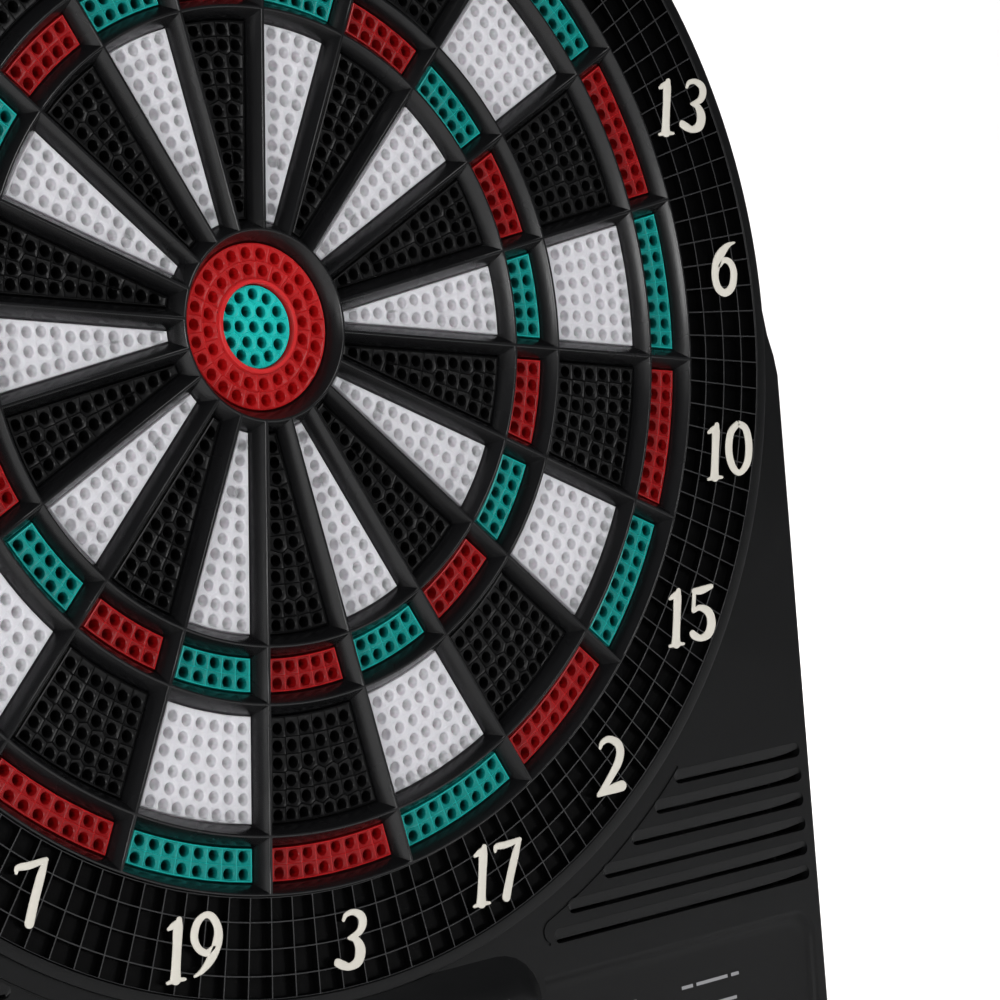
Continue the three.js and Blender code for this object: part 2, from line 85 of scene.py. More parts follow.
# Across one wall of the spider, from the crest: distance from the ridge line, depth below it.
WALL_PROFILE = [
    (0.0, 0.0), (0.28, 0.0), (0.4, 0.08), (0.54, 0.3), (0.85, 0.72), (1.3, 1.34), (1.8, 2.12),
    (2.3, 3.0), (2.75, 3.9), (3.05, 4.6), (3.25, 5.2), (3.35, 5.8), (3.35, 10.8),
]  # fmt: skip

HOLE_R, HOLE_SIDES, HOLE_PITCH = 1.72, 14, 5.3
# From a crest into the dish beside it: distance drawn in, share of the dish's depth.
CREST = [(0.0, 0.0), (0.22, 0.6), (0.62, 0.93)]

# Rows of dart holes: radius, number of holes.
DOUBLE_ROWS = [(160.1, 8), (165.5, 8)]
OUTER_SINGLE_ROWS = [(122.0, 6), (127.3, 6), (132.5, 6), (137.9, 7), (143.1, 7), (148.2, 8)]
TREBLE_ROWS = [(103.3, 5), (108.5, 5)]
INNER_SINGLE_ROWS = [
    (91.0, 4), (86.1, 4), (81.1, 3), (76.2, 3), (71.3, 3), (66.3, 2),
    (61.4, 2), (56.5, 2), (51.5, 2), (46.5, 1), (41.6, 1), (36.9, 1),
]  # fmt: skip

RING_LINES = [172.2, 179.6, 187.6, 195.6, 202.5]  # circles of the number ring's grid
RING_SPOKES = 144
BODY_R, BORDER_R, OPENING_R = 208.0, 206.8, 202.8
SHOULDER = [(207.7, -11), (208.7, -22), (210.3, -29), (211, -36)]
BOTTOM_Z, BOTTOM_HALF, CORNER_R, CORNER_BULGE = -292.0, 191.2, 20.0, 1.5
LOUVRE_COUNT, LOUVRE_TOP_Z, LOUVRE_PITCH, LOUVRE_HALF = 6, -162.4, 8.26, 2.4
LOUVRE_START_R, LOUVRE_END = 214.2, 4.2  # where its inner end lies; how far it stops from the side
GROOVE_R, GROOVE_WIDTH, GROOVE_ABOVE = 213.0, 0.9, 3.4
GROOVE_TIP = (80.5, -201.9, 4.3)  # x and z of the rounded tip's centre, and its radius
NUMERAL_R, NUMERAL_FLAT, NUMERAL_CENTRE = 190.2, 2.8, (0.5, -0.6)
# Numerals that don't stand in the middle of their sector: mm to the right and mm up.
NUMERAL_SHIFT = {6: (0.3, 2.3), 2: (-1.0, -1.4), 3: (-0.7, -0.3), 19: (1.9, -0.2), 7: (3.8, -1.1)}
PANEL_TOP_Z, PANEL_FOOT_Z = -215.2, -281.0
POD_TOP_Z, POD_FOOT_Z, POD_HALF, POD_CORNER_R = -205.0, -288.0, 72.0, 16.0
DISPLAY_Z, KEY_Z, KEY_PITCH = -236.0, -268.0, 24.0
KEY_NAMES = ["power", "game", "select", "player", "start"]
KEY_XS = [KEY_PITCH * (i - 2) for i in range(len(KEY_NAMES))]

# ---- materials

BLOTCHES = 28  # slow changes of tone and polish in moulded plastic, in cycles per metre
# Depths where the painted light on the crests ends and where the painted light and shade in the dart holes
# begins.
PAINTED_CREST_LIGHT_DEPTHS, PAINTED_HOLE_LIGHT_AND_SHADE_DEPTHS = (0.03, 0.26), (0.9, 2.9)  # where these tones end and begin, in mm


def shader(name, color, roughness, **sockets):
    """A material with one Principled shader; returns it, its node tree and the shader."""
    material = bpy.data.materials.new(name)
    material.use_nodes = True
    tree = material.node_tree
    principled = tree.nodes["Principled BSDF"]
    principled.inputs["Base Color"].default_value = (*color, 1)
    principled.inputs["Roughness"].default_value = roughness
    for socket, value in sockets.items():
        principled.inputs[socket.replace("_", " ")].default_value = value
    return material, tree, principled


def add(tree, kind, **inputs):
    """A shader node; each of its inputs is a plain value or another node's output."""
    made = tree.nodes.new("ShaderNode" + kind)
    for name, value in inputs.items():
        socket = made.inputs[name.replace("_", " ")]
        if isinstance(value, bpy.types.NodeSocket):
            tree.links.new(value, socket)
        else:
            socket.default_value = value
    return made


def noise(tree, scale, detail=4.0, roughness=0.6):
    """Noise in the object's own coordinates; scale is in cycles per metre."""
    place = add(tree, "TexCoord").outputs["Object"]
    texture = add(tree, "TexNoise", Vector=place, Scale=scale, Detail=detail, Roughness=roughness)
    return texture.outputs["Fac"]


def spread(tree, value, low, high, start=0.3, end=0.7):
    """A value's range from start to end carried onto the range from low to high."""
    limits = {"From Min": start, "From Max": end, "To Min": low, "To Max": high}
    return add(tree, "MapRange", Value=value, **limits).outputs["Result"]


def tint(tree, value, low, high, start=0.35, end=0.65):
    """A colour between low and high, as the value runs from start to end."""
    ramp = add(tree, "ValToRGB", Fac=value)
    for stop, position, color in zip(ramp.color_ramp.elements, (start, end), (low, high)):
        stop.position = position
        stop.color = (*color, 1)
    return ramp.outputs["Color"]


def bump(tree, principled, *layers):
    """Bump from several heights, each given as (value, distance in metres)."""
    below = {}
    for value, distance in layers:
        layer = add(tree, "Bump", Strength=1.0, Distance=distance, Height=value, **below)
        below = {"Normal": layer.outputs["Normal"]}
    tree.links.new(below["Normal"], principled.inputs["Normal"])


def by_depth(tree, upper, lower, start, end):
    """One tone turning into another between two depths, in mm below the face of the segments; it carries
    the painted light on the crests and the painted light and shade down in the dart holes.
    """
    place = add(tree, "TexCoord").outputs["Object"]
    y = add(tree, "SeparateXYZ", Vector=place).outputs["Y"]
    limits = ((SEGMENT_Y + depth) * MM for depth in (start, end))
    mix = add(tree, "Mix")
    mix.data_type = "RGBA"
    tree.links.new(spread(tree, y, 0.0, 1.0, *limits), mix.inputs["Factor"])
    for socket, tone in (("A", upper), ("B", lower)):
        if isinstance(tone, tuple):
            mix.inputs[socket].default_value = (*tone, 1)
        else:
            tree.links.new(tone, mix.inputs[socket])
    return mix.outputs["Result"]


def moulded(name, color, roughness, change=0.12, grain=900, grain_depth=0.00004, **sockets):
    """Moulded plastic: fine grain, slow changes of tone, patches more or less polished.

    A segment's plastic may also carry painted light and shade: a crest tone, which paints its thin crests
    lighter as a painted glow for the light that shines through them, and a well tone, which paints its dart
    holes darker (painted shade) or lighter (painted light) than its face; face is how deep its face is
    sunk, in mm.
    """
    crest, well, face = sockets.pop("crest", None), sockets.pop("well", None), sockets.pop("face", 0)
    material, tree, principled = shader(name, color, roughness, **sockets)
    slow = noise(tree, BLOTCHES, 3.0)
    fine = noise(tree, grain, 5.0, 0.7)
    low = tuple(c * (1 - change) for c in color)
    high = tuple(min(1.0, c * (1 + change)) for c in color)
    tone = tint(tree, slow, low, high)
    # Painted light: the top of the thin crests is painted lighter, a painted glow for light shining through
    # them.
    if crest:
        tone = by_depth(tree, crest, tone, *(face + depth for depth in PAINTED_CREST_LIGHT_DEPTHS))
    # Painted shade and light: the dart holes are painted darker or lighter with depth, standing in for the
    # shade and the light inside them.
    if well:
        tone = by_depth(tree, tone, well, *(face + depth for depth in PAINTED_HOLE_LIGHT_AND_SHADE_DEPTHS))
    tree.links.new(tone, principled.inputs["Base Color"])
    rough = spread(tree, slow, roughness * 0.88, min(1.0, roughness * 1.12))
    tree.links.new(rough, principled.inputs["Roughness"])
    bump(tree, principled, (fine, grain_depth), (slow, 0.0001))
    return material


HOUSING = moulded(
    "housing_plastic", (0.0037, 0.0038, 0.004), 0.37, grain=1500, grain_depth=0.00005,
    Specular_IOR_Level=0.21
)
SPIDER = moulded(
    "spider_plastic", (0.0036, 0.0036, 0.004), 0.26, grain=700, grain_depth=0.00002,
    Specular_IOR_Level=0.45
)
GRID = moulded("grid_plastic", (0.016, 0.016, 0.017), 0.4, grain_depth=0.00002)
POCKET = moulded(
    "pocket_plastic", (0.0012, 0.0012, 0.0013), 0.28, grain=300, grain_depth=0.00001,
    Specular_IOR_Level=0.07
)
NUMERAL = moulded("numeral_paint", (0.64, 0.61, 0.54), 0.42, change=0.06, grain=500, grain_depth=0.00009)
BLACK = moulded(
    "black_segment", (0.003, 0.003, 0.0032), 0.37, grain=800, grain_depth=0.00003,
    Specular_IOR_Level=0.2
)
# Its dart holes are painted lighter than its face: painted light in the holes.
WHITE = moulded(
    "white_segment", (0.62, 0.615, 0.645), 0.4, change=0.02, grain=500, grain_depth=0.00002,
    Specular_IOR_Level=0.3, Subsurface_Weight=0.8, Subsurface_Scale=0.003, well=(0.93, 0.92, 0.94),
    Subsurface_Radius=(1.0, 0.9, 0.95)
)


def segment_plastic(name, color, share, glow, lit, face=0.0):
    """Coloured segment plastic; share is how bright its dart holes are painted against its face, painted
    shade below one and painted light above one, and lit is how much lighter its crests are painted, a
    painted glow.
    """
    crest = tuple(lit * c + 0.012 for c in color)
    well = tuple(share * c for c in color)
    return moulded(
        name, color, 0.4, grain=800, grain_depth=0.00002, crest=crest, well=well, face=face,
        Specular_IOR_Level=0.25, Subsurface_Weight=0.12, Subsurface_Scale=0.001, Subsurface_Radius=glow
    )


RED_GLOW, TEAL_GLOW = (1.0, 0.25, 0.25), (0.2, 1.0, 0.9)
# Red's dart holes are painted lighter than its face, painted light; teal's are painted darker, painted
# shade. Both have their crests painted lighter, a painted glow.
RED = segment_plastic("red_segment", (0.215, 0.002, 0.003), 1.6, RED_GLOW, 2.2)
TEAL = segment_plastic("teal_segment", (0.001, 0.2, 0.182), 0.35, TEAL_GLOW, 2.2)
# The bull's red and teal are lighter than the red and teal of the doubles and trebles: partly a lighter
# plastic, partly painted shade on the doubles and trebles for the shade in their narrow, recessed rings.
BULL_RED = segment_plastic("bull_red", (0.37, 0.005, 0.006), 1.6, RED_GLOW, 1.4)
BULL_TEAL = segment_plastic("bull_teal", (0.0025, 0.41, 0.376), 0.35, TEAL_GLOW, 1.6, face=BULL_SUNK)
DARK = moulded("dark_plastic", (0.01, 0.01, 0.011), 0.45)
KEY_RUBBER = moulded("key_silicone", (0.16, 0.16, 0.165), 0.6, grain=1800, grain_depth=0.00005)
POWER_RUBBER = moulded("power_silicone", (0.45, 0.02, 0.03), 0.55, grain=1800, grain_depth=0.00005)
FOAM = moulded("sponge_rubber", (0.05, 0.05, 0.05), 0.92, change=0.3, grain=420, grain_depth=0.0003)
FILM = moulded("switch_film", (0.55, 0.48, 0.3), 0.4, grain=200, grain_depth=0.00003)
BOARD = moulded("circuit_board", (0.012, 0.12, 0.045), 0.35, change=0.25, grain=260, grain_depth=0.00008)
LCD_GLASS = moulded("lcd_glass", (0.2, 0.235, 0.17), 0.16, change=0.04, grain=60, grain_depth=0.00001)
LCD_INK = moulded("lcd_ink", (0.13, 0.155, 0.11), 0.2, change=0.05, grain=60, grain_depth=0.00001)
PRINT = moulded("pale_print", (0.3, 0.3, 0.31), 0.5, change=0.08)
SCREW = moulded("screw_steel", (0.35, 0.34, 0.33), 0.32, grain=1200, Metallic=1.0)


def lens_material():
    """Clear acrylic with a faint smear."""
    sockets = {"Transmission Weight": 0.9, "IOR": 1.2}
    material, tree, principled = shader("clear_window", (0.95, 0.97, 0.97), 0.04, **sockets)
    smear = spread(tree, noise(tree, 35), 0.02, 0.09)
    tree.links.new(smear, principled.inputs["Roughness"])
    return material


LENS = lens_material()


def speaker_material():
    """Plated steel behind, dark paper where the speaker faces the player."""
    steel, paper = (0.42, 0.42, 0.43), (0.012, 0.012, 0.012)
    turned = (0.05, 0.1)  # the normal's Y where paper ends and steel begins
    material, tree, principled = shader("speaker_metal", steel, 0.4, Specular_IOR_Level=0.1)
    normal = add(tree, "TexCoord").outputs["Normal"]
    y = add(tree, "SeparateXYZ", Vector=normal).outputs["Y"]
    for socket, value in (
        ("Base Color", tint(tree, y, paper, steel, *turned)),
        ("Metallic", spread(tree, y, 0.0, 1.0, *turned)),
        ("Roughness", spread(tree, noise(tree, 90), 0.3, 0.55)),
    ):
        tree.links.new(value, principled.inputs[socket])
    bump(tree, principled, (noise(tree, 700), 0.00005))
    return material


SPEAKER = speaker_material()

# ---- loops


def polar(radius, bearing, x=0.0, z=0.0):
    """A point at a radius and a bearing that runs clockwise from straight up."""
    return (x + radius * math.sin(bearing), z + radius * math.cos(bearing))


def circle(radius, steps, x=0.0, z=0.0):
    """A circle as a loop."""
    return [polar(radius, -TAU * i / steps, x, z) for i in range(steps)]


def rounded(x, z, half_x, half_z, radius, steps=6):
    """A rectangle with rounded corners."""
    loop = []
    for sx, sz, start in ((1, -1, 1.0), (1, 1, 0.5), (-1, 1, 0.0), (-1, -1, -0.5)):
        for i in range(steps + 1):
            bearing = math.pi * (start - 0.5 * i / steps)
            centre = (x + sx * (half_x - radius), z + sz * (half_z - radius))
            loop.append(polar(radius, bearing, *centre))
    return loop


def inset(loop, distance):
    """The loop moved inwards by a distance, each corner where its two moved edges meet."""
    moved = []
    for i, point in enumerate(loop):
        here = Vector(point)
        before = (here - Vector(loop[i - 1])).normalized()
        after = (Vector(loop[(i + 1) % len(loop)]) - here).normalized()
        bisector = Vector((-before.y - after.y, before.x + after.x))
        moved.append(tuple(here + bisector * distance / (1 + before.dot(after))))
    return moved


def sector(inner, outer, bearing, drawn, share=SECTOR, steps=18):
    """The area between two radii over one share of the circle, drawn in from all its edges."""

    def arc(radius, start):
        reach = start * (share / 2 - math.asin(drawn / radius))
        return [polar(radius, bearing + reach * (1 - 2 * i / steps)) for i in range(steps + 1)]

    return arc(inner + drawn, -1) + arc(outer - drawn, 1)


# ---- meshes


def placed(name, data):
    """A new object in the scene."""
    made = bpy.data.objects.new(name, data)
    bpy.context.scene.collection.objects.link(made)
    return made


class Shell:
    """A surface made of rings of points, in millimetres."""

    def __init__(self):
        self.points = []
        self.faces = []

    def ring(self, loop, y):
        """The points of a loop at one depth; returns their indices."""
        first = len(self.points)
        self.points += [(x, y, z) for x, z in loop]
        return list(range(first, len(self.points)))

    def loft(self, sections, inward=False):
        """Bands between loops, front to back; inward for the wall of a hollow.

        Returns the first and the last ring.
        """
        rings = [self.ring(loop, y) for loop, y in sections]
        for a, b in zip(rings, rings[1:]):
            for i in range(len(a)):
                j = (i + 1) % len(a)
                face = (a[i], b[i], b[j], a[j])
                self.faces.append(face[::-1] if inward else face)
        return rings[0], rings[-1]

    def cap(self, ring, back=False):
        """A ring closed with one face, towards the player or, with back, towards the wall."""
        self.faces.append(tuple(reversed(ring)) if back else tuple(ring))

    def fill(self, outer, holes, y, back=False):
        """A flat face with holes in it, towards the player or, with back, towards the wall."""
        scratch = bmesh.new()
        for loop in [outer, *holes]:
            made = [scratch.verts.new((x, y, z)) for x, z in loop]
            for a, b in zip(made, made[1:] + made[:1]):
                scratch.edges.new((a, b))
        bmesh.ops.triangle_fill(scratch, use_beauty=True, edges=scratch.edges[:])
        scratch.verts.index_update()
        first = len(self.points)
        self.points += [tuple(v.co) for v in scratch.verts]
        for face in scratch.faces:
            ids = [first + v.index for v in face.verts]
            if (face.normal.y < 0) == back:
                ids.reverse()
            self.faces.append(tuple(ids))
        scratch.free()

    def make(self, name, material, body, slot, replaces=(), sharp=38):
        """The shell as an object that rides on a body, smooth but for its sharp edges."""
        mesh = bpy.data.meshes.new(name)
        mesh.from_pydata([tuple(c * MM for c in p) for p in self.points], [], self.faces)
        mesh.materials.append(material)
        work = bmesh.new()
        work.from_mesh(mesh)
        bmesh.ops.remove_doubles(work, verts=work.verts[:], dist=2e-6)
        for face in work.faces:
            face.smooth = True
        for edge in work.edges:
            if len(edge.link_faces) == 2:
                edge.smooth = edge.calc_face_angle(0) < math.radians(sharp)
        work.to_mesh(mesh)
        work.free()
        made = placed(name, mesh)
        if replaces:
            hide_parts(*replaces)
        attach(made, body)


# ---- segments


def clip(polygon, point, direction):
    """The part of a polygon behind a line through point, whose normal is direction."""

    def side(p):
        return (p[0] - point[0]) * direction[0] + (p[1] - point[1]) * direction[1]

    kept = []
    for i, a in enumerate(polygon):
        b = polygon[(i + 1) % len(polygon)]
        side_a, side_b = side(a), side(b)
        if side_a <= 0:
            kept.append(a)
        if (side_a < 0 < side_b) or (side_b < 0 < side_a):
            t = side_a / (side_a - side_b)
            kept.append((a[0] + t * (b[0] - a[0]), a[1] + t * (b[1] - a[1])))
    return kept


def cell_round(centre, outline, holes):
    """The part of an outline that is nearer to one hole than to any other."""
    cell = outline
    for other in holes:
        gap = (other[0] - centre[0], other[1] - centre[1])
        if other is not centre and math.hypot(*gap) < 3 * HOLE_PITCH:
            cell = clip(cell, (centre[0] + gap[0] / 2, centre[1] + gap[1] / 2), gap)
    return cell


def hole_field(shell, outline, holes, y, dish, deep=7.0):
    """The face of a segment: each dart hole lies in a shallow dish, and dishes meet in crests."""
    for centre in holes:
        cell = cell_round(centre, outline, holes)
        if len(cell) < 3:
            continue
        # Rings run clockwise in bearing, so both the cell and the hole are sorted that way.
        bearing = [math.atan2(x - centre[0], z - centre[1]) for x, z in cell]
        order = sorted(range(len(cell)), key=lambda i: bearing[i])
        corner_at = [bearing[i] for i in order]
        reach = [math.dist(cell[i], centre) for i in order]
        crest, slope, corners = (
            shell.ring([polar(r - drawn, b, *centre) for r, b in zip(reach, corner_at)], y + share * dish)
            for drawn, share in CREST
        )
        for upper, lower in ((crest, slope), (slope, corners)):
            for i in range(len(order)):
                j = (i + 1) % len(order)
                shell.faces.append((upper[i], upper[j], lower[j], lower[i]))
        step, floor = TAU / HOLE_SIDES, y + dish
        turns = [step * k - math.pi for k in range(HOLE_SIDES)]
        rims = [
            shell.ring([polar(radius, turn, *centre) for turn in turns], floor + depth)
            for radius, depth in ((HOLE_R + 0.4, 0.0), (HOLE_R + 0.08, 0.28), (HOLE_R * 0.92, deep))
        ]
        nearest = [round((b + math.pi) / step) for b in corner_at]
        for i, corner in enumerate(corners):
            following = corners[(i + 1) % len(corners)]
            start = nearest[i]
            end = nearest[i + 1] if i + 1 < len(corners) else nearest[0] + HOLE_SIDES
            middle = (start + end) // 2
            for k in range(start, end):
                edge = corner if k < middle else following
                shell.faces.append((edge, rims[0][(k + 1) % HOLE_SIDES], rims[0][k % HOLE_SIDES]))
            shell.faces.append((corner, following, rims[0][middle % HOLE_SIDES]))
        for a, b in zip(rims, rims[1:]):
            for k in range(HOLE_SIDES):
                m = (k + 1) % HOLE_SIDES
                shell.faces.append((a[k], a[m], b[m], b[k]))
        shell.faces.append(tuple(rims[-1]))


def row_holes(rows, bearing, reach):
    """Holes in rows across a sector; reach(radius) is how far from its middle a hole may stand."""
    holes = []
    for radius, count in rows:
        limit = reach(radius)
        pitch = min(2 * limit / max(1, count - 1), HOLE_PITCH + 0.4) if count > 1 else 0
        for k in range(count):
            across = (k - (count - 1) / 2) * pitch
            holes.append(polar(radius, bearing + across / radius))
    return holes


# How deep the dish round each hole is.
DISHES = {BLACK: 0.6, WHITE: 0.14, RED: 0.4, TEAL: 0.4}


def segment(name, material, slot, node, outline, holes):
    """One scoring piece: its face with holes, and its sides down to the flange."""
    shell = Shell()
    top = inset(outline, 0.45)
    hole_field(shell, top, holes, SEGMENT_Y, DISHES[material])
    shell.loft(
        [
            (top, SEGMENT_Y),
            (inset(outline, 0.16), SEGMENT_Y + 0.14),
            (outline, SEGMENT_Y + 0.45),
            (outline, SEGMENT_Y + SEGMENT_DEPTH),
        ]
    )
    shell.make(name, material, node, slot, [node], sharp=30)


def scoring_segments():
    """The four scoring pieces of each number; the numbers alternate between two pairs of colours."""
    margin = 2.9

    def reach(radius):
        return radius * SECTOR / 2 - SEGMENT_INSET - margin

    for i, number in enumerate(NUMBERS):
        bearing = i * SECTOR
        single = (WHITE, "white_segment") if i % 2 else (BLACK, "black_segment")
        ring = (TEAL, "teal_segment") if i % 2 else (RED, "red_segment")
        outer_node = f"double_outer_single_{number}"
        inner_node = f"treble_inner_single_{number}"
        for name, node, span, rows, (material, slot) in (
            ("double", outer_node, (DOUBLE_IN, DOUBLE_OUT), DOUBLE_ROWS, ring),
            ("outer_single", outer_node, (TREBLE_OUT, DOUBLE_IN), OUTER_SINGLE_ROWS, single),
            ("treble", inner_node, (TREBLE_IN, TREBLE_OUT), TREBLE_ROWS, ring),
            ("inner_single", inner_node, (BULL_RIM, TREBLE_IN), INNER_SINGLE_ROWS, single),
        ):
            outline = sector(*span, bearing, SEGMENT_INSET, steps=6)
            holes = row_holes(rows, bearing, reach)
            segment(f"{name}_{number}", material, slot, node, outline, holes)


def bullseye():
    """The inner bull, sunk a little in the outer one, and the outer bull with its raised lip."""
    inner_r, outer_r, dish = 12.8, 25.55, 0.5
    holes = [(0.0, 0.0)]
    for radius, count, turn in ((5.4, 6, TAU / 12 + 0.12), (10.1, 12, 0.12)):
        holes += [polar(radius, TAU * k / count + turn) for k in range(count)]
    shell = Shell()
    face = circle(inner_r - 0.3, 48)
    side = circle(inner_r, 48)
    sunk_y = SEGMENT_Y + BULL_SUNK
    hole_field(shell, face, holes, sunk_y, dish, deep=6.2)
    shell.loft([(face, sunk_y), (side, sunk_y + 0.3), (side, SEGMENT_Y + SEGMENT_DEPTH)])
    shell.make("bull_inner_face", BULL_TEAL, "bull_inner", "teal_segment", ["bull_inner"], sharp=30)

    # The outer bull's cells are clipped to sectors, so its middle stays open.
    shell = Shell()
    lip_r = inner_r + 1.9
    middle = (lip_r + outer_r) / 2 - 0.15
    for count, radius, low, high in ((20, 17.5, lip_r, middle), (26, 22.6, middle, outer_r - 0.3)):
        for k in range(count):
            bearing = TAU * k / count
            cell = sector(low, high, bearing, 0.0, TAU / count, 4)
            hole_field(shell, cell, [polar(radius, bearing)], SEGMENT_Y, dish)
    rim, wall = circle(outer_r - 0.3, 72), circle(outer_r, 72)
    shell.loft([(rim, SEGMENT_Y), (wall, SEGMENT_Y + 0.3), (wall, SEGMENT_Y + SEGMENT_DEPTH)])
    lip = [
        (inner_r + 0.25, SEGMENT_DEPTH),
        (inner_r + 0.25, -0.8),
        (inner_r + 0.5, -1.15),
        (lip_r - 0.6, -1.15),
        (lip_r - 0.2, -0.8),
        (lip_r, 0.0),
    ]
    shell.loft([(circle(r, 48), SEGMENT_Y + y) for r, y in lip])
    shell.make("bull_outer_face", BULL_RED, "bull_outer", "red_segment", ["bull_outer"], sharp=30)


# ---- spider and number ring


def spider():
    """The walls of every cell, which meet in ridges, the hub's wall and the outer ring's outside."""
    shell = Shell()
    radii = (BULL_RIM, TREBLE_IN, TREBLE_OUT, DOUBLE_IN, DOUBLE_OUT)
    for i in range(len(NUMBERS)):
        for inner, outer in zip(radii, radii[1:]):
            sections = [(sector(inner, outer, i * SECTOR, d), RIDGE_Y + y) for d, y in WALL_PROFILE]
            shell.loft(sections, inward=True)
    steps = 18 * len(NUMBERS)
    shell.loft([(circle(BULL_RIM - d, steps), RIDGE_Y + y) for d, y in WALL_PROFILE], inward=True)
    outside = [(0.0, 0.0), (0.25, 0.05), (0.4, 0.3), (0.4, 8.0)]
    shell.loft([(circle(DOUBLE_OUT + d, steps), RIDGE_Y + y) for d, y in outside])
    shell.make("spider_frame", SPIDER, "housing", "spider", ["spider"], sharp=50)


def number_ring():
    """Thin raised lines in circles and spokes; only their tops stand out from the black pockets."""
    lines, pockets = Shell(), Shell()
    share = TAU / RING_SPOKES
    top = [(0.0, 0.0), (0.12, 0.01), (0.19, 0.06)]
    wall = [(0.19, 0.06), (0.24, 0.4), (0.36, 2.85)]
    for inner, outer in zip(RING_LINES, RING_LINES[1:]):
        for k in range(RING_SPOKES):
            bearing = share * k

            def sections(profile, edges=(inner, outer, bearing)):
                return [(sector(*edges, d, share, 2), BORDER_Y + y) for d, y in profile]

            lines.loft(sections(top), inward=True)
            _, floor = pockets.loft(sections(wall), inward=True)
            pockets.cap(floor)
    lines.make("number_ring_grid", GRID, "housing", "number_ring", ["number_ring"], sharp=40)
    pockets.make("number_ring_pockets", POCKET, "housing", "number_ring", ["number_ring"])


# ---- numerals

# Each digit in the strokes of a slanted serif hand. A stroke is a line of (x, z, half-width) points
# in millimetres, from the foot of the digit up.
DIGITS = {
    0: [
        [(7.6, 17.6, 1.0), (3.6, 14.6, 1.4), (1.7, 8.6, 1.5), (2.5, 3.4, 1.4), (5.4, 1.1, 1.0),
         (9.4, 4.2, 1.4), (11.2, 10.2, 1.5), (10.6, 15.4, 1.4), (7.6, 17.6, 1.0)],
    ],
    1: [
        [(4.0, 1.1, 1.9), (4.2, 2.2, 1.7), (4.7, 4.5, 1.55), (6.0, 10.0, 1.5), (7.3, 15.6, 1.6),
         (8.2, 18.1, 0.9)],
        [(1.0, 0.5, 0.5), (4.0, 0.8, 0.8), (7.2, 0.5, 0.5)],
        [(3.9, 15.9, 0.5), (5.8, 16.6, 0.95), (8.4, 17.9, 0.6)],
    ],
    2: [
        [(4.2, 15.4, 0.55), (5.4, 17.0, 0.85), (8.3, 17.7, 1.1), (11.6, 16.0, 1.45), (12.5, 13.2, 1.6),
         (10.9, 9.6, 1.5), (7.2, 5.8, 1.25), (3.3, 2.3, 1.1), (0.9, 0.7, 0.7)],
        [(0.7, 0.55, 0.55), (4.6, 1.35, 1.25), (8.5, 1.75, 1.65), (11.4, 2.0, 1.75)],
    ],
    3: [
        [(5.9, 15.5, 0.5), (7.2, 17.0, 0.75), (10.0, 17.3, 0.95), (12.6, 15.7, 1.4), (12.9, 13.3, 1.45),
         (11.0, 10.9, 1.1), (6.9, 9.9, 0.4)],
        [(6.9, 9.9, 0.4), (9.5, 8.9, 1.2), (10.7, 5.7, 1.85), (9.3, 2.4, 1.65), (6.0, 1.3, 1.15),
         (3.4, 2.3, 1.4), (1.6, 3.4, 1.35)],
    ],
    4: [
        [(9.7, 17.5, 0.9), (5.2, 11.6, 0.85), (0.9, 6.0, 0.8)],
        [(0.9, 5.5, 0.95), (6.5, 5.4, 1.1), (12.6, 5.5, 0.95)],
        [(10.3, 17.7, 1.2), (9.0, 9.0, 1.6), (7.7, 0.9, 1.55)],
    ],
    5: [
        [(4.6, 16.9, 1.0), (8.0, 16.8, 1.3), (12.6, 17.5, 0.85)],
        [(4.9, 17.2, 0.7), (4.1, 13.8, 0.75), (3.2, 10.5, 0.7)],
        [(3.2, 10.3, 0.55), (6.3, 11.2, 1.0), (9.9, 9.2, 1.6), (10.5, 5.6, 1.8), (8.6, 2.3, 1.6),
         (5.2, 1.2, 1.1), (2.6, 2.2, 1.35), (1.5, 3.2, 1.3)],
    ],
    6: [
        [(12.5, 17.8, 0.35), (10.0, 17.3, 0.8), (6.8, 15.4, 1.5), (3.7, 12.2, 1.75), (1.8, 7.4, 1.45),
         (2.5, 3.2, 1.45), (5.4, 1.35, 1.3), (8.9, 3.3, 1.4), (10.5, 7.8, 1.4), (9.5, 11.2, 1.25),
         (6.8, 12.3, 0.95), (4.2, 10.6, 0.8)],
    ],
    7: [
        [(2.0, 15.8, 0.45), (2.8, 17.2, 0.95), (6.6, 17.2, 1.1), (12.4, 17.8, 0.75)],
        [(12.0, 17.3, 0.8), (9.8, 13.4, 1.35), (6.6, 7.0, 1.45), (3.9, 0.9, 1.55)],
    ],
    8: [
        [(8.2, 17.5, 0.95), (5.2, 16.2, 1.25), (4.3, 13.6, 1.35), (6.4, 10.6, 1.3), (9.2, 7.7, 1.45),
         (9.9, 4.3, 1.45), (7.4, 1.4, 1.1), (4.2, 1.3, 1.1), (1.8, 3.7, 1.35), (2.5, 7.0, 1.15),
         (5.6, 9.6, 0.9), (9.2, 11.8, 1.0), (11.1, 14.6, 1.2), (10.3, 16.8, 1.0), (8.2, 17.5, 0.95)],
    ],
    9: [
        [(0.5, 0.55, 0.4), (3.5, 1.7, 0.85), (7.2, 4.7, 1.45), (10.1, 9.0, 1.6), (10.9, 13.1, 1.35),
         (9.4, 16.6, 1.2), (7.0, 17.5, 0.95), (4.0, 15.8, 1.2), (2.2, 11.9, 1.3), (3.1, 8.4, 1.15),
         (5.7, 6.5, 1.05), (8.4, 7.6, 0.75)],
    ],
}  # fmt: skip
DIGIT_HEIGHT = 18.6
DIGIT_WIDTH = {1: 8.6, 7: 12.6, 2: 14.2, 3: 14.3}
USUAL_WIDTH = 12.8
DIGIT_GAP = 1.6

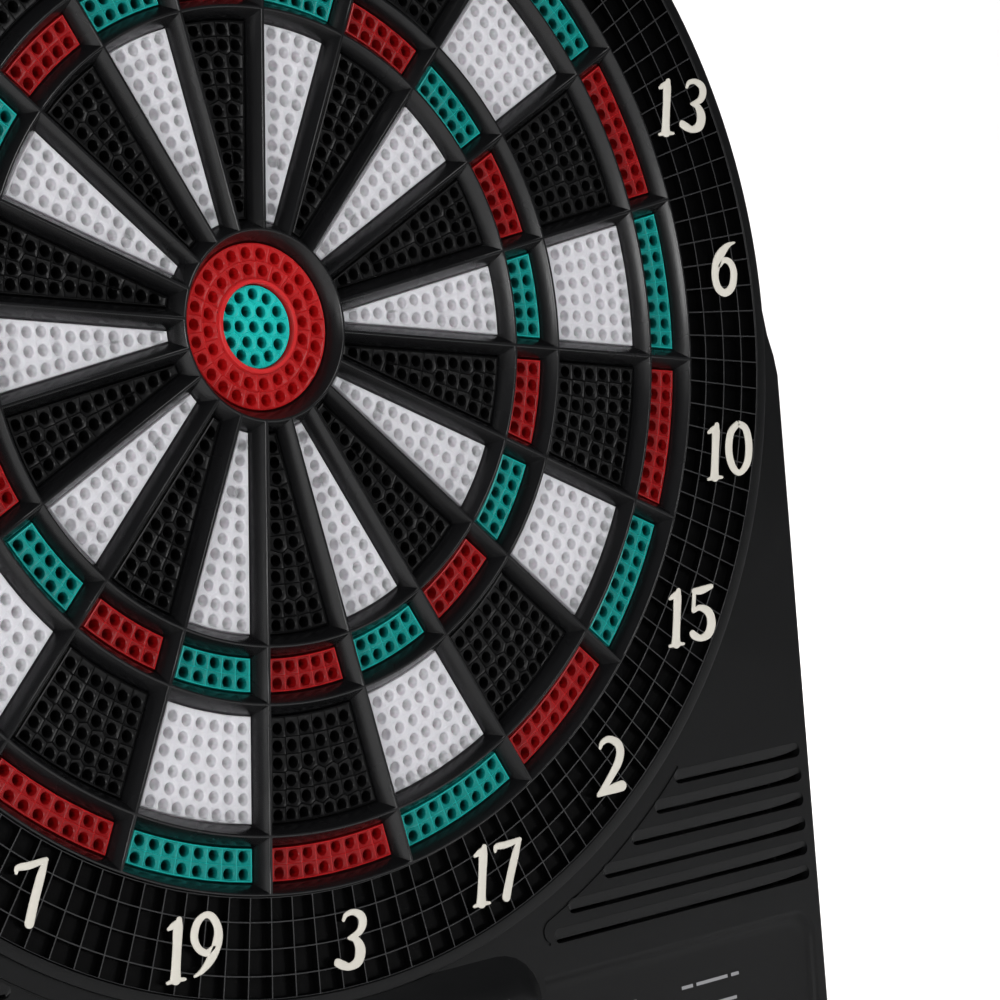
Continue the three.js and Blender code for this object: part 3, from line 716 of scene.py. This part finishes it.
# From the painted top down the sides: how far the outline has grown, height against the border.
PAINTED = [(-0.3, -0.52), (-0.12, -0.48), (0.0, -0.34), (0.03, -0.1)]
UNPAINTED = [(0.03, -0.1), (0.1, 0.6), (0.2, 2.85)]


def smooth_stroke(points, between=6):
    """Catmull-Rom points through a stroke."""
    pts = [Vector(p) for p in points]
    pts = [2 * pts[0] - pts[1], *pts, 2 * pts[-1] - pts[-2]]
    line = []
    for a, b, c, d in zip(pts, pts[1:], pts[2:], pts[3:]):
        for i in range(between):
            t = i / between
            bend = 2 * a - 5 * b + 4 * c - d
            twist = 3 * b - a - 3 * c + d
            line.append(0.5 * (2 * b + (c - a) * t + bend * t * t + twist * t**3))
    return [*line, pts[-2]]


def stroke_loop(line, closed, grow):
    """The two sides of a stroke, widened by grow; one that isn't closed has rounded ends."""
    if not closed:
        first, second, last, before = line[0], line[1], line[-1], line[-2]
        for end, inner, at_start in ((first, second, True), (last, before, False)):
            away = (end.xy - inner.xy).normalized()
            caps = []
            for share, narrowed in ((0.45, 0.86), (0.75, 0.55), (0.88, 0.2)):
                tip = end.xy + away * end.z * share
                caps.append(Vector((tip.x, tip.y, end.z * narrowed)))
            line = [*reversed(caps), *line] if at_start else [*line, *caps]
    sides = []
    for i, point in enumerate(line):
        ahead = line[min(i + 1, len(line) - 1)].xy - line[max(i - 1, 0)].xy
        normal = Vector((-ahead.y, ahead.x)).normalized() * max(0.02, point.z + grow)
        sides.append((point.xy + normal, point.xy - normal))
    return sides


def ribbon(shell, layers, place):
    """The walls of one stroke through its layers; place turns a stroke's point into millimetres.

    Returns the uppermost layer's points in pairs, one on each side of the stroke.
    """
    rings = [
        [tuple(shell.ring([place(left), place(right)], y)) for left, right in pairs]
        for pairs, y in layers
    ]
    for upper, lower in zip(rings, rings[1:]):
        for i in range(len(upper) - 1):
            (l0, r0), (l1, r1) = upper[i], upper[i + 1]
            (m0, s0), (m1, s1) = lower[i], lower[i + 1]
            shell.faces.append((l0, l1, m1, m0))
            shell.faces.append((r0, s0, s1, r1))
        for i in (0, -1):
            end = (upper[i][0], lower[i][0], lower[i][1], upper[i][1])
            shell.faces.append(end if i == 0 else end[::-1])
    return rings[0]


def numeral(number, x, z):
    """A raised number with a painted top; its sides stay bare."""
    digits = [int(c) for c in str(number)]
    widths = [DIGIT_WIDTH.get(d, USUAL_WIDTH) for d in digits]
    start = x - (sum(widths) + DIGIT_GAP * (len(digits) - 1)) / 2
    paint, sides = Shell(), Shell()
    for digit, width in zip(digits, widths):

        def place(point, left=start):
            return (left + point[0], z - DIGIT_HEIGHT / 2 + point[1])

        for order, points in enumerate(DIGITS[digit]):
            line = smooth_stroke(points)
            closed = points[0] == points[-1]
            lift = 0.015 * order  # keeps the tops of crossing strokes apart

            def layers(profile, line=line, closed=closed):
                return [(stroke_loop(line, closed, grow), BORDER_Y + y) for grow, y in profile]

            top = ribbon(paint, [(pairs, y + lift) for pairs, y in layers(PAINTED)], place)
            for (l0, r0), (l1, r1) in zip(top, top[1:]):
                paint.faces.append((l0, r0, r1, l1))
            ribbon(sides, layers(UNPAINTED), place)
        start += width + DIGIT_GAP
    paint.make(f"numeral_{number}", NUMERAL, "housing", "number_ring", sharp=50)
    sides.make(f"numeral_{number}_sides", POCKET, "housing", "number_ring", sharp=50)


def numerals():
    """All twenty, upright, each near the middle of its sector on a slightly flattened circle."""
    for place, number in enumerate(NUMBERS):
        x, _ = polar(NUMERAL_R, place * SECTOR, *NUMERAL_CENTRE)
        _, z = polar(NUMERAL_R - NUMERAL_FLAT, place * SECTOR, *NUMERAL_CENTRE)
        aside, above = NUMERAL_SHIFT.get(number, (0.0, 0.0))
        numeral(number, x + aside, z + above)


# ---- housing


def side_x(z):
    """Half-width of the lower body at a height."""
    top_x, top_z = SHOULDER[-1]
    return top_x + (BOTTOM_HALF - top_x) * (z - top_z) / (BOTTOM_Z - top_z)


def housing_outline():
    """The board seen from the front: a round top, shoulders and a body that tapers downwards."""
    right = [polar(BODY_R, math.radians(1.5 * i)) for i in range(1, 61)]
    right += SHOULDER
    steps = 8
    for i in range(steps + 1):
        bearing = math.pi / 2 * (1 + i / steps)
        slide = CORNER_BULGE * (1 - i / steps)
        right.append(polar(CORNER_R, bearing, BOTTOM_HALF - CORNER_R + slide, BOTTOM_Z + CORNER_R))
    left = [(-x, z) for x, z in right]
    return [(0.0, BODY_R), *left, *reversed(right)]


OUTLINE = housing_outline()
FACE_INSET = 0.9  # the rounding of the front's outer edge


def louvre_loop(side, index, left, right, top, foot, rise):
    """One louvre's outline, drawn in by a distance on each side as seen on the right-hand panel.

    Its upper edge rises by `rise` in all, most of it close to the side of the body.
    """
    z = LOUVRE_TOP_Z - LOUVRE_PITCH * index
    low, high = z - LOUVRE_HALF + foot, z + LOUVRE_HALF - top
    start = max(math.sqrt(LOUVRE_START_R**2 - z**2), GROOVE_TIP[0]) + left
    end = side_x(z) - LOUVRE_END - right
    half, middle = (high - low) / 2, (high + low) / 2
    corners = rounded(side * (start + end) / 2, middle, (end - start) / 2, half, half * 0.95, 5)
    loop = []
    for (x0, z0), (x1, z1) in zip(corners, corners[1:] + corners[:1]):
        long_edge = abs(x1 - x0) > 10
        pieces = 12 if long_edge else 1
        for k in range(pieces):
            x, z = x0 + (x1 - x0) * k / pieces, z0 + (z1 - z0) * k / pieces
            lift = rise * ((side * x - start) / (end - start)) ** 10
            loop.append((x, z + lift if z > middle else z))
    return loop


def mirrored(loop, side):
    """A loop of the right-hand side, or its mirror image where side is negative."""
    return loop if side > 0 else [(-x, z) for x, z in reversed(loop)]


def groove_loop(side, drawn):
    """The thin groove that joins the louvres' inner ends and rounds the tip of the lowest one."""
    half = GROOVE_WIDTH / 2 - drawn
    tip_x, tip_z, tip_r = GROOVE_TIP
    meeting = math.atan2(tip_x, tip_z)
    top = math.acos((LOUVRE_TOP_Z + GROOVE_ABOVE) / GROOVE_R)
    arc = [top + (meeting - top) * i / 24 for i in range(25)]
    bend = [meeting + math.pi - math.radians(13 * i) for i in range(1, 11)]

    def line(offset):
        straight = [polar(GROOVE_R + offset, b) for b in arc]
        return straight + [polar(tip_r - offset, b, tip_x, tip_z) for b in bend]

    return mirrored(line(-half) + line(half)[::-1], side)


def panel_loop(side, drawn):
    """The sunken panel beside the pod; drawn moves its edges inwards, the upper one fastest."""
    top, foot, inner = PANEL_TOP_Z - 1.5 * drawn, PANEL_FOOT_Z + drawn, POD_HALF + 2.0
    upper_r, lower_r = 8.0, 6.0
    outer_top, outer_foot = (side_x(z) - 4.3 - drawn for z in (top, foot))

    def corner(radius, start, x, z):
        return [polar(radius, start - math.pi / 12 * i, x, z) for i in range(7)]

    loop = [(inner, foot)]
    loop += corner(lower_r, math.pi, outer_foot - lower_r, foot + lower_r)
    loop += corner(upper_r, math.pi / 2, outer_top - upper_r, top - upper_r)
    loop.append((inner, top))
    return mirrored(loop, side)


def pod_loop(drawn, top_drawn):
    """The display pod's outline, drawn in on all sides but the top, which has its own distance."""
    top, bottom = POD_TOP_Z - top_drawn, POD_FOOT_Z + drawn
    half = (top - bottom) / 2
    return rounded(0, (top + bottom) / 2, POD_HALF - drawn, half, POD_CORNER_R - drawn, 6)


# Into a louvre: how far its outline is drawn in at the left, right, top and foot, how far its
# upper edge rises, and the depth below the face.
LOUVRE_PROFILE = [
    (0.0, 0.0, 0.0, 0.0, 0.0, 0.0),
    (0.15, 0.05, 0.1, 0.05, 0.0, 0.1),
    (1.4, 0.15, 3.5, 0.1, 1.4, 0.9),
    (1.4, 0.15, 3.5, 0.1, 1.4, 3.4),
]
# Down into a panel: distance drawn in, depth below the face.
PANEL_PROFILE = [
    (0.0, 0.0), (0.3, 0.04), (0.7, 0.18), (1.1, 0.52), (1.6, 1.12), (2.1, 1.58), (2.8, 1.84), (3.8, 1.9),
]  # fmt: skip
# From the pod's flat face outwards: distance drawn in, the same at the top, depth below its face.
POD_PROFILE = [
    (8.0, 12.6, 0.0), (7.0, 11.4, 0.2), (6.0, 10.0, 0.8), (4.6, 8.0, 2.4), (2.4, 4.4, 5.4), (0.9, 1.6, 7.4),
]  # fmt: skip


def stack(outline, y, profile):
    """Sections of one outline through a profile of (distance drawn in, depth below y)."""
    return [(inset(outline, d) if d else outline, y + depth) for d, depth in profile]


def front_face():
    """The flat front with its louvres and grooves, open where the ring, panels and pod are."""
    shell = Shell()
    holes = [circle(BORDER_R, 240), pod_loop(0, 0)]
    for side in (-1, 1):
        holes.append(panel_loop(side, 0.0))
        for index in range(LOUVRE_COUNT):
            sections = [(louvre_loop(side, index, *drawn), FACE_Y + y) for *drawn, y in LOUVRE_PROFILE]
            holes.append(sections[0][0])
            shell.loft(sections, inward=True)
        groove = groove_loop(side, 0.0)
        holes.append(groove)
        sections = [(groove, FACE_Y), (groove_loop(side, 0.1), FACE_Y + 0.5)]
        _, floor = shell.loft(sections, inward=True)
        shell.cap(floor)
    shell.fill(inset(OUTLINE, FACE_INSET), holes, FACE_Y)
    shell.make("front_face", HOUSING, "housing", "housing", ["front_housing"], sharp=14)


def front_housing():
    """The front housing's side, border, sunken panels and display pod."""
    shell = Shell()
    edge = stack(OUTLINE, FACE_Y, [(FACE_INSET, 0.0), (0.4, 0.15), (0.1, 0.55), (0.0, 1.2)])
    shell.loft(edge + stack(OUTLINE, PARTING_Y, [(0.0, -0.6), (0.45, -0.15), (1.6, -0.15)]))
    for side in (-1, 1):
        sections = [(panel_loop(side, d), FACE_Y + y) for d, y in PANEL_PROFILE]
        _, floor = shell.loft(sections, inward=True)
        shell.cap(floor)

    # Border round the number ring.
    border = [
        (OPENING_R, LEDGE_Y),
        (OPENING_R, BORDER_Y + 0.25),
        (OPENING_R + 0.25, BORDER_Y),
        (BORDER_R - 0.7, BORDER_Y),
        (BORDER_R - 0.2, BORDER_Y + 0.2),
        (BORDER_R, BORDER_Y + 0.7),
        (BORDER_R, FACE_Y),
    ]
    shell.loft([(circle(radius, 240), y) for radius, y in border])

    # Display pod: a slope, a rounded brow, then the flat face with its openings.
    sections = [(pod_loop(d, t), POD_Y + y) for d, t, y in POD_PROFILE] + [(pod_loop(0, 0), FACE_Y)]
    shell.loft(sections)
    lens = rounded(0, DISPLAY_Z, 52.8, 15.8, 3, 5)
    openings = [lens]
    shell.loft(stack(lens, POD_Y, [(0.0, 0.0), (0.1, 1.8), (3.0, 1.8)]), inward=True)
    for x in KEY_XS:
        key = rounded(x, KEY_Z, 8.3, 4.5, 3.2, 6)
        openings.append(key)
        shell.loft(stack(key, POD_Y, [(0.0, 0.0), (0.05, 3.2)]), inward=True)
    shell.fill(sections[0][0], openings, POD_Y)
    shell.make("front_shell", HOUSING, "housing", "housing", ["front_housing"], sharp=32)


def keys():
    """Five keys with domed tops."""
    cap_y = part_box("button_power")[0].y / MM
    # Half-width, half-height and corner radius of a key, and the depth below its top.
    profile = [
        (6.2, 2.6, 2.0, 0.0),
        (7.0, 3.3, 2.6, 0.12),
        (7.6, 3.85, 2.9, 0.45),
        (7.95, 4.15, 3.0, 1.1),
        (8.0, 4.2, 3.0, 5.0),
    ]
    for name, x in zip(KEY_NAMES, KEY_XS):
        shell = Shell()
        top, _ = shell.loft([(rounded(x, KEY_Z, *size, 6), cap_y + y) for *size, y in profile])
        shell.cap(top)
        power = name == "power"
        shell.make(
            "key_" + name,
            POWER_RUBBER if power else KEY_RUBBER,
            "button_" + name,
            "power_key" if power else "key_rubber",
            ["button_" + name],
        )


def display():
    """The liquid crystal display behind its window: black frame, glass and unlit digits."""
    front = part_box("lcd_module")[0].y / MM
    outer, inner = rounded(0, DISPLAY_Z, 53.4, 16.4, 1, 4), rounded(0, DISPLAY_Z, 46, 11.5, 1.5, 4)
    frame_shell, glass, ink, window = (Shell() for _ in range(4))
    frame_shell.loft([(inner, front + 0.8), (inner, front), (outer, front), (outer, front + 6)])
    frame_shell.make("lcd_frame", DARK, "housing", "screen", ["lcd_module"])
    glass.cap(glass.ring(inner, front + 0.7))
    glass.make("lcd_glass", LCD_GLASS, "housing", "screen", ["lcd_module"])

    # Four groups of three seven-segment digits, each stroke a bar with pointed ends.
    bar, half, tall = 0.62, 2.6, 4.6

    def stroke(x, z, reach, upright=False):
        loop = [(-reach, 0), (bar - reach, -bar), (reach - bar, -bar)]
        loop += [(-a, -b) for a, b in loop]
        if upright:
            loop = [(-b, a) for a, b in loop]
        ink.cap(ink.ring([(x + a, z + b) for a, b in loop], front + 0.6))

    for group in range(4):
        for digit in range(3):
            x = 20.6 * group + 7.4 * digit - 38.3
            for level in (-1, 0, 1):
                stroke(x, DISPLAY_Z + level * tall, half)
            for level in (-0.5, 0.5):
                for side in (-1, 1):
                    stroke(x + side * half * 1.12, DISPLAY_Z + level * tall, tall * 0.46, True)
    ink.make("lcd_digits", LCD_INK, "housing", "screen", ["lcd_module"])

    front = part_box("display_lens")[0].y / MM
    rim, edge = rounded(0, DISPLAY_Z, 52.0, 15.0, 2.6, 6), rounded(0, DISPLAY_Z, 52.5, 15.5, 3, 6)
    face, back = window.loft([(rim, front), (edge, front + 0.4), (edge, front + 1.3)])
    window.cap(face)
    window.cap(back, back=True)
    window.make("display_window", LENS, "housing", "lens", ["display_lens"])


def panel_print():
    """Rows of short pale bars where a panel carries its printed list."""
    shell = Shell()
    lengths, gap, thick = (3.5, 9.0, 14.0), 1.6, 1.1
    for columns in ((84, 132), (-180, -132)):
        for row in range(6):
            z = -231.6 - 7.6 * row
            for column, x in enumerate(columns):
                for word in range(3):
                    length = lengths[(word + row + column) % 3] * (1.0 if word else 0.55)
                    if x + length > side_x(z) - 14:
                        break
                    loop = [(x, z), (x + length, z), (x + length, z + thick), (x, z + thick)]
                    shell.cap(shell.ring(loop, FACE_Y + 1.88))
                    x += length + gap
    shell.make("panel_list_bars", PRINT, "housing", "housing")


# ---- rear

BATTERY_X, BATTERY_Z = -120.0, -238.0
RECESS_Y, BAY_Y = -2.2, -17.4  # the floors of the door's recess and of the battery bay
KEYHOLE_X, KEYHOLE_Z = 90.0, 118.0
SCREWS = [polar(199.5, math.radians(a)) for a in (-75, -25, 25, 75)]
SCREWS += [(s * (side_x(z) - d), z) for s in (-1, 1) for z, d in ((-110, 6), (-262, 8))]
SCREWS += [(s * 84.0, -284.0) for s in (-1, 1)]
SCREW_TOP_Y, SCREW_WELL_Y = -0.62, -2.0


def keyhole(x):
    """A round mouth with a narrow slot above it."""
    mouth = [polar(5, math.pi * (0.16 + 1.68 * i / 20), x, KEYHOLE_Z) for i in range(21)]
    slot = [polar(2.4, math.pi * (i / 8 - 0.5), x, KEYHOLE_Z + 12) for i in range(9)]
    return [*slot, *mouth][::-1]


def rear_housing():
    """The rear housing: side and flat back with the battery bay, keyholes and screw wells."""
    shell = Shell()
    edge = stack(OUTLINE, PARTING_Y, [(1.6, 0.15), (0.45, 0.15), (0.0, 0.6)])
    edge += stack(OUTLINE, 0.0, [(0.0, -1.5), (0.15, -0.75), (0.6, -0.2), (1.5, 0.0)])
    shell.loft(edge)
    # The door's recess, its floor and the bay in it.
    recess = rounded(BATTERY_X, BATTERY_Z - 4, 33.3, 32.3, 1.2, 3)
    bay = rounded(BATTERY_X, BATTERY_Z, 31, 26, 1.0, 3)
    shell.loft([(recess, RECESS_Y), (recess, 0.0)])
    shell.fill(recess, [bay], RECESS_Y, back=True)
    floor, _ = shell.loft([(inset(bay, 0.3), BAY_Y), (bay, RECESS_Y)])
    shell.cap(floor, back=True)
    holes = [recess]
    for x in (-KEYHOLE_X, KEYHOLE_X):
        loop = keyhole(x)
        holes.append(loop)
        shell.loft([(loop, -3.0), (loop, 0.0)])
    for x, z in SCREWS:
        well = circle(3.6, 28, x, z)
        holes.append(well)
        foot = [(circle(radius, 28, x, z), SCREW_WELL_Y) for radius in (1.2, 3.4)]
        shell.loft([*foot, (well, 0.0)])
    shell.fill(edge[-1][0], holes, 0.0, back=True)
    shell.make("rear_shell", HOUSING, "housing", "housing", ["rear_housing"], sharp=32)


def screws():
    """Pan-head screws with a cross recess, at the bottom of their wells."""
    arm, width = 1.5, 0.28
    for index, (x, z) in enumerate(SCREWS):
        shell = Shell()
        cross = []
        for k in range(4):
            turn = -k * math.pi / 2
            for along, across in ((width, arm), (-width, arm)):
                bearing = turn + math.atan2(-along, across)
                cross.append(polar(math.hypot(along, across), bearing, x, z))
            cross.append(polar(width * math.sqrt(2), turn - math.pi / 4, x, z))
        head = [(2.7, SCREW_WELL_Y), (2.7, -1.4), (2.35, -0.85), (1.75, SCREW_TOP_Y)]
        head = [(circle(radius, 24, x, z), y) for radius, y in head]
        shell.loft(head)
        shell.fill(head[-1][0], [cross], SCREW_TOP_Y, back=True)
        deep, _ = shell.loft([(inset(cross, 0.06), -1.5), (cross, SCREW_TOP_Y)], inward=True)
        shell.cap(deep, back=True)
        shell.make(f"screw_{index + 1}", SCREW, "housing", "speaker_metal")


def battery_door():
    """A plain plate with five ridges for the thumb."""
    shell = Shell()
    face_y = -0.7
    plate = rounded(BATTERY_X, BATTERY_Z, 33, 28, 1.0, 3)
    edge = stack(plate, face_y, [(0.0, -1.2), (0.0, -0.25), (0.25, 0.0)])
    shell.loft(edge)
    holes = []
    for k in range(5):
        ridge = rounded(BATTERY_X, BATTERY_Z - 12 - 2.6 * k, 11, 0.7, 0.6, 3)
        holes.append(ridge)
        _, crest = shell.loft(stack(ridge, face_y, [(0.0, 0.0), (0.08, 0.35), (0.3, 0.45)]))
        shell.cap(crest, back=True)
    shell.fill(edge[-1][0], holes, face_y, back=True)
    shell.make("battery_door_plate", HOUSING, "battery_door", "housing", ["battery_door"], sharp=32)


# ---- the kept CAD pieces

KEPT = {
    "return_mat": FOAM,
    "sensor_membrane": FILM,
    "backing_plate": DARK,
    "main_circuit_board": BOARD,
    "speaker": SPEAKER,
    "dc_jack": DARK,
}

# ---- stage


def stage():
    """A pale floor that sweeps up into a backdrop, and soft light from three sides."""
    floor_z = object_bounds()[0].z - 0.0006
    bend_y, bend_r = 2.8, 0.9
    profile = [(-4.0, 0.0), (bend_y, 0.0)]
    for k in range(1, 13):
        a = math.pi / 2 * k / 12
        profile.append((bend_y + bend_r * math.sin(a), bend_r - bend_r * math.cos(a)))
    profile.append((bend_y + bend_r, 4.5))
    mesh = bpy.data.meshes.new("sweep")
    points = [(x, y, floor_z + z) for y, z in profile for x in (-6.0, 6.0)]
    faces = [(2 * i, 2 * i + 1, 2 * i + 3, 2 * i + 2) for i in range(len(profile) - 1)]
    mesh.from_pydata(points, [], faces)
    mesh.polygons.foreach_set("use_smooth", [True] * len(faces))
    mesh.materials.append(moulded("sweep_paper", (0.86, 0.86, 0.86), 0.8, change=0.01, grain=60))
    placed("sweep", mesh)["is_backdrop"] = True

    world = bpy.data.worlds.new("studio")
    world.use_nodes = True
    background = world.node_tree.nodes["Background"]
    background.inputs["Color"].default_value = (0.93, 0.95, 1.0, 1)
    background.inputs["Strength"].default_value = 0.13
    bpy.context.scene.world = world
    bpy.context.scene.view_settings.view_transform = "Standard"

    # Each softbox: where it stands, what it faces, its size and its power in watts.
    board = (0.0, -0.03, -0.03)
    for name, at, target, size, power in (
        ("key", (0.0, -1.8, 0.85), board, (0.8, 1.0), 20),
        ("side", (-1.62, -1.08, -0.16), board, (0.5, 0.9), 22),
        ("backdrop_left", (-1.2, 0.4, 1.9), (0.4, 3.6, 0.4), (1.2, 1.2), 130),
        ("backdrop_right", (1.9, 0.4, 1.9), (2.6, 3.6, 0.2), (1.2, 1.2), 170),
    ):
        light = bpy.data.lights.new(name, "AREA")
        light.shape = "RECTANGLE"
        light.size, light.size_y = size
        light.energy = power
        lamp = placed(name, light)
        lamp.location = at
        lamp.rotation_euler = (Vector(target) - Vector(at)).to_track_quat("-Z", "Y").to_euler()


def camera():
    """The player's-left view, nearly level, rolled so that the board leans to the left."""
    bull = Vector((0.0, RIDGE_Y * MM, 0.0))
    eye = bull + Vector((-0.6263, -0.8779, -0.0384))
    forward = Vector((0.627, 0.7787, -0.0221)).normalized()
    level = forward.cross(Vector((0, 0, 1))).normalized()
    upright = level.cross(forward)
    roll = math.radians(-7.88)
    right = level * math.cos(roll) + upright * math.sin(roll)
    up = right.cross(forward)
    lens = bpy.data.cameras.new("camera")
    lens.lens = 128.07
    lens.sensor_width = 36.0
    made = placed("camera", lens)
    rows = [(right[i], up[i], -forward[i], eye[i]) for i in range(3)]
    made.matrix_world = Matrix([*rows, (0, 0, 0, 1)])
    bpy.context.scene.camera = made


camera()
scoring_segments()
bullseye()
spider()
number_ring()
numerals()
front_face()
front_housing()
keys()
display()
panel_print()
rear_housing()
screws()
battery_door()
for node, finish in KEPT.items():
    nodes[node].data.materials.clear()
    nodes[node].data.materials.append(finish)
stage()
